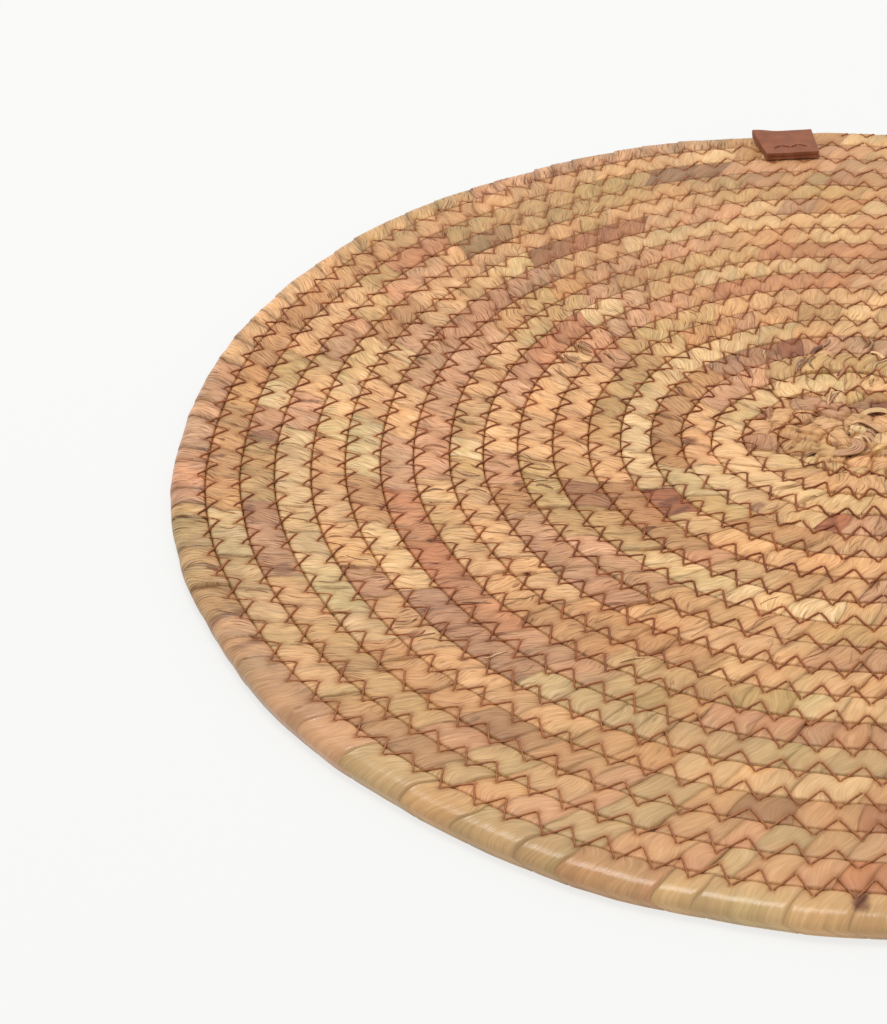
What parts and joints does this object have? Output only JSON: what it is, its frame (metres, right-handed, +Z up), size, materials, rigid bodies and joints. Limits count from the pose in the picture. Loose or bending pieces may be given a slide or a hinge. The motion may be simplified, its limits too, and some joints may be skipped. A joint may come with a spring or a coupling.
{
  "type": "round water hyacinth placemat",
  "caption": "Round table mat coiled from one flattened plant-fibre cord, with a small folded leather tab on its rim.",
  "frame": {"origin": "centre of the coil on the underside, at the height of the table that the mat lies on", "axes": "+Z up, out of the mat's top; the leather tab is on the rim close to +Y, about ten degrees towards -X"},
  "size_m": [0.38, 0.3781, 0.0088],
  "materials": {
    "hyacinth": "dried plant fibre, satin, streaky",
    "leather": "smooth, satin"
  },
  "bodies": {
    "root": {"coiled_mat": "hyacinth", "leather_tab": "leather"}
  },
  "joints": []
}
